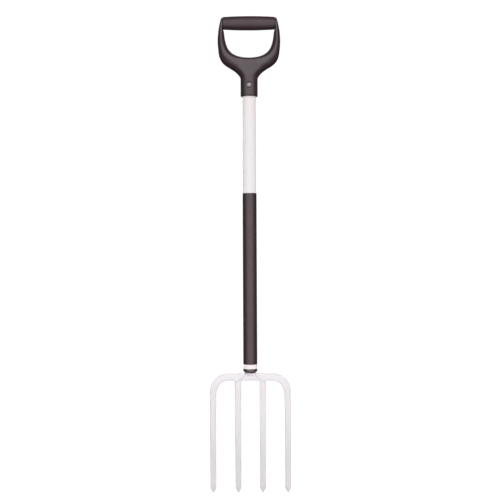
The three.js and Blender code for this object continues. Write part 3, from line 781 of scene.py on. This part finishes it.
def build_floor():
    """Round floor: glowing white to the camera, plain grey to all other rays."""
    rim = [(FLOOR_R * math.cos(math.radians(a)), FLOOR_R * math.sin(math.radians(a)), FLOOR_Z)
           for a in range(0, 360, 5)]
    mesh = bpy.data.meshes.new("studio_floor")
    mesh.from_pydata(rim, [], [tuple(range(len(rim)))])
    floor = bpy.data.objects.new("studio_floor", mesh)
    scene.collection.objects.link(floor)
    material = bpy.data.materials.new("studio_floor")
    material.use_nodes = True
    tree = material.node_tree
    tree.nodes.clear()

    def node(kind, inputs):
        return add_node(tree, "ShaderNode" + kind, inputs).outputs

    glow = node("Emission", {"Color": BACKDROP, "Strength": FLOOR_GLOW})[0]
    white = node("BsdfDiffuse", {"Color": (FLOOR_SEEN,) * 3 + (1,)})[0]
    grey = node("BsdfDiffuse", {"Color": (FLOOR_BOUNCE,) * 3 + (1,)})[0]
    seen = node("AddShader", {0: glow, 1: white})[0]
    to_camera = node("LightPath", {})["Is Camera Ray"]
    node("OutputMaterial", {"Surface": node("MixShader", {0: to_camera, 1: grey, 2: seen})[0]})
    mesh.materials.append(material)
    return floor


def toward(azimuth, elevation):
    """Direction to a light. Azimuth 0 is the camera's side, positive to its right."""
    a, e = math.radians(azimuth), math.radians(elevation)
    return Vector((math.sin(a) * math.cos(e), -math.cos(a) * math.cos(e), math.sin(e)))


# the world is a soft light tent. Patches: (azimuth, elevation), strength, and brightness against
# the angle from the patch's middle
PATCHES = [((3, 9), 2.0, [(0, 1.0), (25, 1.0), (40, 0.78), (50, 0.36), (60, 0.12), (75, 0.03),
                          (90, 0.0)]),
           ((180, 14), 1.9, [(0, 1.0), (14, 0.95), (26, 0.45), (38, 0.06), (48, 0.0)])]
AMBIENT = 0.05


def build_world():
    world = bpy.data.worlds.new("studio")
    scene.world = world
    world.use_nodes = True
    tree = world.node_tree
    tree.nodes.clear()

    def node(kind, inputs, **settings):
        return add_node(tree, "ShaderNode" + kind, inputs, **settings)

    way = node("TexCoord", {}).outputs["Generated"]
    total = None
    for direction, strength, fall in PATCHES:
        dot = node("VectorMath", {0: way, 1: toward(*direction)}, operation="DOT_PRODUCT")
        stops = [(max(0.0, math.cos(math.radians(angle))), level) for angle, level in fall[::-1]]
        patch = add_ramp(tree, dot.outputs["Value"], stops)
        patch_sum = node("Math", {1: strength, 2: AMBIENT, 0: patch}, operation="MULTIPLY_ADD")
        if total is not None:  # later patches add to the sum so far in place of the ambient
            tree.links.new(total, patch_sum.inputs[2])
        total = patch_sum.outputs[0]
    seen = node("Background", {0: BACKDROP, 1: 1.05}).outputs[0]
    soft = node("Background", {0: (1.0, 0.99, 0.995, 1), 1: total}).outputs[0]
    to_camera = node("LightPath", {}).outputs["Is Camera Ray"]
    both = node("MixShader", {0: to_camera, 1: soft, 2: seen}).outputs[0]
    node("OutputWorld", {0: both})


PAINTED = ("centre_forging_finished", "outer_tine_right_finished", "outer_tine_left_finished",
           "weld_bead_right_finished", "weld_bead_left_finished", "shaft_tube_finished")
PLASTIC = ("tang_bush_and_collar", "shaft_sleeve_finished", "handle_yoke_finished",
           "grip_cover_finished")


def group(name, members):
    collection = bpy.data.collections.new(name)
    for obj in members:
        collection.objects.link(obj)
    return collection


def build_suns(floor):
    pieces = [o for o in scene.objects if o.type == "MESH" and o is not floor]
    painted = group("painted_pieces", [o for o in pieces if o.name in PAINTED])
    plastics = group("plastic_pieces", [o for o in pieces if o.name in PLASTIC])
    grip = group("grip_piece", [o for o in pieces if o.name == "grip_cover_finished"])
    tool = group("tool_pieces", pieces)
    # name, azimuth, elevation, angular size, strength, pieces lit (None: all), seen in reflections
    suns = [("key_top", 4, 28, 22, 0.20, None, True),
            ("card_left", -95, -4, 80, 0.60, painted, True),
            ("card_right", 95, -4, 80, 0.33, painted, True),
            ("card_top", 0, 66, 70, 0.45, painted, True),
            ("card_back", 180, 20, 30, 2.0, painted, False),
            ("fill_back", 180, 15, 60, 3.0, plastics, False),
            ("sheen_left", -46, 10, 36, 0.30, plastics, True),
            ("sheen_right", 46, 10, 36, 0.22, plastics, True),
            ("sheen_low", 0, -42, 50, 0.44, grip, True)]
    for name, azimuth, elevation, size, strength, lit, reflected in suns:
        light = bpy.data.lights.new(name, "SUN")
        light.angle = math.radians(size)
        light.energy = strength
        light.color = (1, 0.99, 0.995)
        sun = bpy.data.objects.new(name, light)
        sun.rotation_euler = toward(azimuth, elevation).to_track_quat("Z", "Y").to_euler()
        scene.collection.objects.link(sun)
        sun.visible_glossy = reflected
        if lit is not None:
            sun.light_linking.receiver_collection = lit
            sun.light_linking.blocker_collection = tool


CAMERA_DISTANCE, CAMERA_Z = 2.090, 0.3062
VIEW_WIDTH = 1.173  # width of the view at the shaft
LEAN, SHIFT_X = 0.0042, 0.0004  # roll in radians, sideways shift as a share of the view


def build_camera():
    """Level, in front, at the height of the shaft's middle."""
    lens = bpy.data.cameras.new("camera")
    lens.sensor_width = 36.0
    lens.lens = 36.0 * CAMERA_DISTANCE / VIEW_WIDTH
    lens.shift_x = SHIFT_X
    camera = bpy.data.objects.new("camera", lens)
    camera.location = (0.0, -CAMERA_DISTANCE, CAMERA_Z)
    upright, roll = Matrix.Rotation(math.pi / 2, 4, "X"), Matrix.Rotation(-LEAN, 4, "Z")
    camera.rotation_euler = (upright @ roll).to_euler()
    scene.collection.objects.link(camera)
    scene.camera = camera
    scene.view_settings.view_transform = "Standard"
    scene.view_settings.look = "None"


for build in (build_head, build_bush, build_pin, build_shaft, build_yoke, build_grip, build_rivet):
    build()
studio_floor = build_floor()
build_world()
build_suns(studio_floor)
build_camera()
